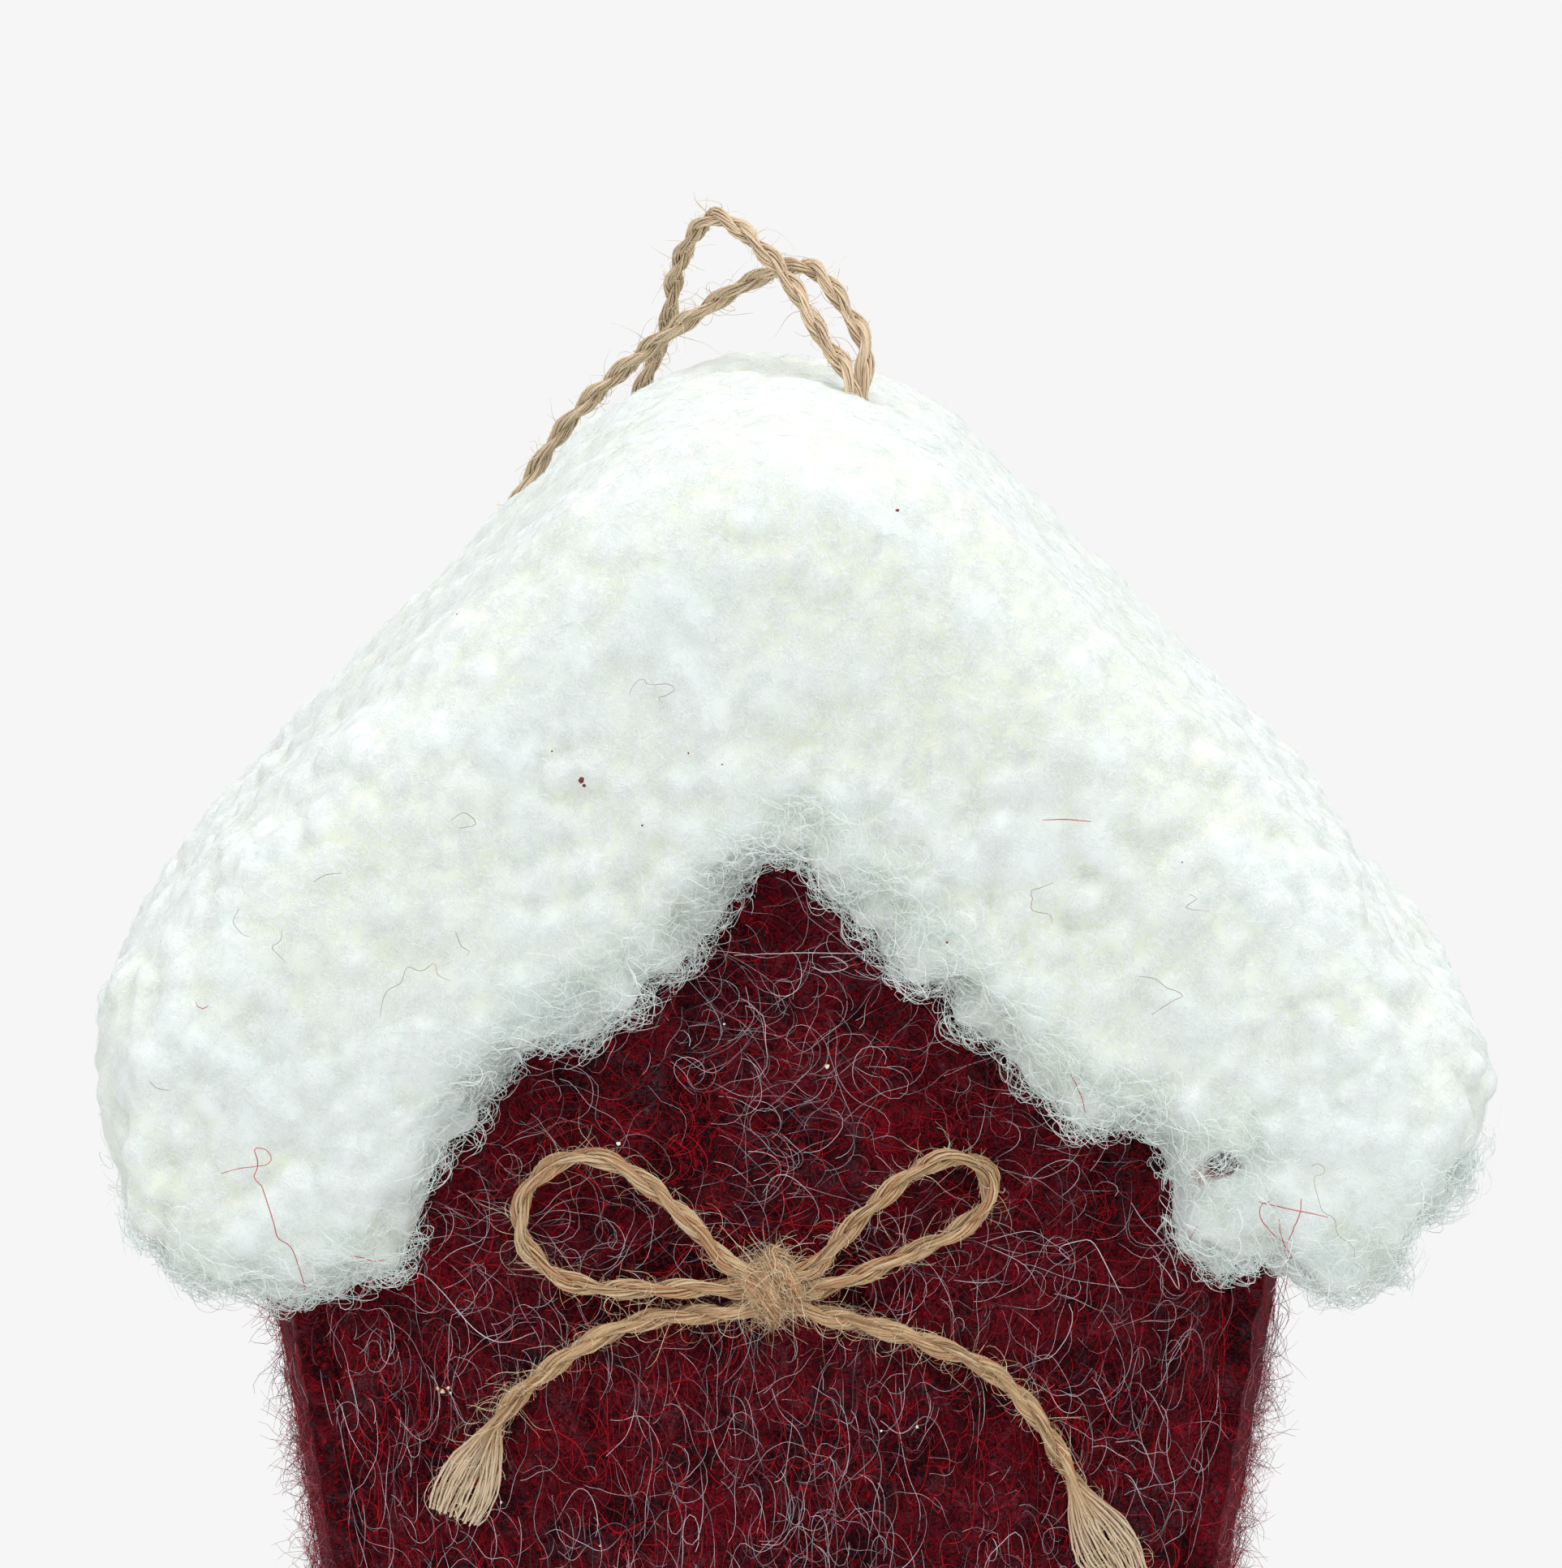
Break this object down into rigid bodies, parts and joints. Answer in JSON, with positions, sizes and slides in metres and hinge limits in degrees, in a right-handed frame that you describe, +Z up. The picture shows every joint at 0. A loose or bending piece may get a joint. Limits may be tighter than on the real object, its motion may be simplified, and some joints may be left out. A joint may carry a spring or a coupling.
{
  "type": "felt house ornament",
  "caption": "Stuffed dark red felt house with a thick white fleece gable roof, a jute twine bow on its front and a twine hanging loop at the ridge.",
  "frame": {"origin": "middle of the flat base, on the surface that the house stands on; the loop's twine is left out of it", "axes": "+Z up to the ridge, -Y out of the front with the bow, +X to the viewer's right"},
  "size_m": [0.1126, 0.0593, 0.1413],
  "materials": {
    "felt": "thick hairy wool felt, dark red mottled with near black and pale grey fibres",
    "fleece": "curly cream-white sherpa fleece with a deep nubby pile",
    "twine": "natural jute twine, loosely plied, hairy",
    "filling": "loose white fibre filling",
    "board": "plain grey-brown card board",
    "glue": "set hot-melt glue"
  },
  "bodies": {
    "root": {"base_panel": "felt", "front_panel": "felt", "back_panel": "felt", "side_panel_left": "felt", "side_panel_right": "felt", "top_panel_left": "felt", "top_panel_right": "felt", "stuffing": "filling", "roof_board_left": "board", "roof_board_right": "board", "roof_fleece": "fleece", "loop_anchor_knot": "twine", "hanging_loop": "twine", "bow_glue_spot": "glue", "bow_knot": "twine", "bow_loop_left": "twine", "bow_loop_right": "twine", "bow_tail_left": "twine", "bow_tail_right": "twine", "bow_fray_left": "twine", "bow_fray_right": "twine"}
  },
  "joints": []
}
